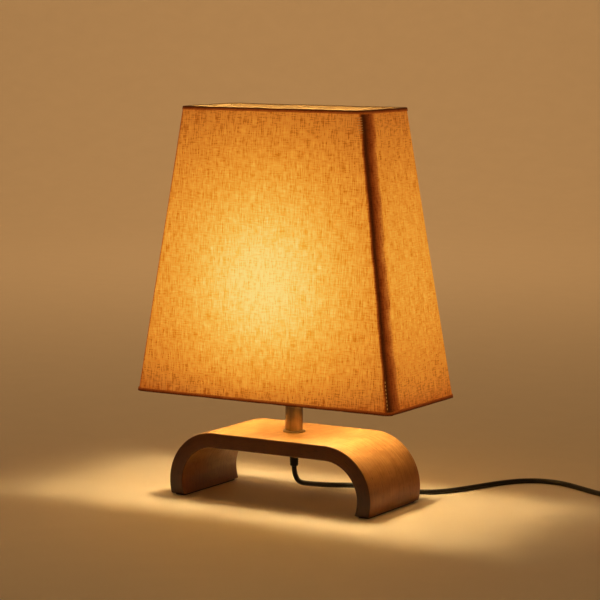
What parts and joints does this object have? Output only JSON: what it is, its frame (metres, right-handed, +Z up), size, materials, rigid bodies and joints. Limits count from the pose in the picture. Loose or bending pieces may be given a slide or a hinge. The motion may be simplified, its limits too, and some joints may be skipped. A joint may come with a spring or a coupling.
{
  "type": "table lamp",
  "caption": "Bedside table lamp: arched wooden foot, short metal stem, tapered rectangular linen shade on a wire frame, mains cord with inline switch and plug.",
  "frame": {"origin": "on the surface that the lamp stands on, under the middle of the foot", "axes": "+X along the foot and the long side of the shade, +Y to the back, +Z up"},
  "size_m": [0.5711, 0.2724, 0.4],
  "materials": {
    "wood": "satin lacquered, straight grain along the top",
    "felt": "black felt strip",
    "satin_metal": "satin, slightly warm grey",
    "steel": "zinc plated",
    "brass": "plain turned brass",
    "black_plastic": "moulded, fine matt texture",
    "ceramic": "glazed off-white ceramic",
    "frame_wire": "white powder coat",
    "linen": "natural linen weave with darker slubs, lets lamplight through",
    "hem_linen": "the same linen doubled, so darker against the light",
    "opal_glass": "opal white, smooth",
    "clear_glass": "clear",
    "phosphor": "yellow phosphor coat",
    "aluminium": "rolled thread, bare metal",
    "black_pvc": "smooth black PVC with a soft gloss"
  },
  "bodies": {
    "base": {"bridge_foot": "wood", "foot_pad_left": "felt", "foot_pad_right": "felt", "flange_ring": "satin_metal", "stem_tube": "satin_metal", "stem_centring_disc": "satin_metal", "threaded_rod": "steel", "washer": "steel", "holder_grub_screw": "steel", "switch_screw_1": "steel", "switch_screw_2": "steel", "lock_nut": "brass", "terminal_screw_left": "brass", "terminal_screw_right": "brass", "centre_contact": "brass", "side_contact": "brass", "switch_terminal_in": "brass", "switch_terminal_out": "brass", "switch_blade": "brass", "plug_pin_left": "brass", "plug_pin_right": "brass", "holder_cap": "black_plastic", "holder_skirt": "black_plastic", "switch_upper_shell": "black_plastic", "switch_lower_shell": "black_plastic", "plug_body": "black_plastic", "holder_core": "ceramic", "strain_relief": "black_pvc", "cord_inside_stem": "black_pvc", "cord_lamp_side": "black_pvc", "cord_switch_to_coil": "black_pvc", "cord_coil": "black_pvc", "cord_plug_tail": "black_pvc"},
    "rocker": {"switch_rocker": "black_plastic"},
    "bulb": {"bulb_glass": "opal_glass", "bulb_cap": "aluminium", "bulb_insulator": "black_plastic", "bulb_contact": "brass", "bulb_mount": "clear_glass", "bulb_filament_left": "phosphor", "bulb_filament_right": "phosphor"},
    "shade_ring": {"shade_ring": "black_plastic"},
    "shade": {"shade_fabric": "linen", "bottom_hem": "hem_linen", "top_hem": "hem_linen", "seam_strip": "hem_linen", "bottom_wire": "frame_wire", "top_wire": "frame_wire", "upright_front_left": "frame_wire", "upright_front_right": "frame_wire", "upright_back_left": "frame_wire", "upright_back_right": "frame_wire", "fitter_ring": "frame_wire", "fitter_arm_left": "frame_wire", "fitter_arm_right": "frame_wire", "fitter_arm_front": "frame_wire", "fitter_arm_back": "frame_wire"}
  },
  "joints": [
    {"name": "switch_rocker_tilt", "type": "hinge", "parent": "base", "child": "rocker", "pos_m": [0.32685, 0.1343, 0.0122], "axis": [0.5, 0.866, 0], "range_deg": [-16, 0]},
    {"name": "bulb_unscrew", "type": "slide", "parent": "base", "child": "bulb", "axis": [0, 0, 1], "range_m": [0, 0.026]},
    {"name": "shade_ring_unscrew", "type": "slide", "parent": "base", "child": "shade_ring", "axis": [0, 0, 1], "range_m": [0, 0.012]},
    {"name": "shade_turn", "type": "hinge", "parent": "base", "child": "shade", "pos_m": [0, 0, 0.148], "axis": [0, 0, 1], "continuous": true}
  ]
}
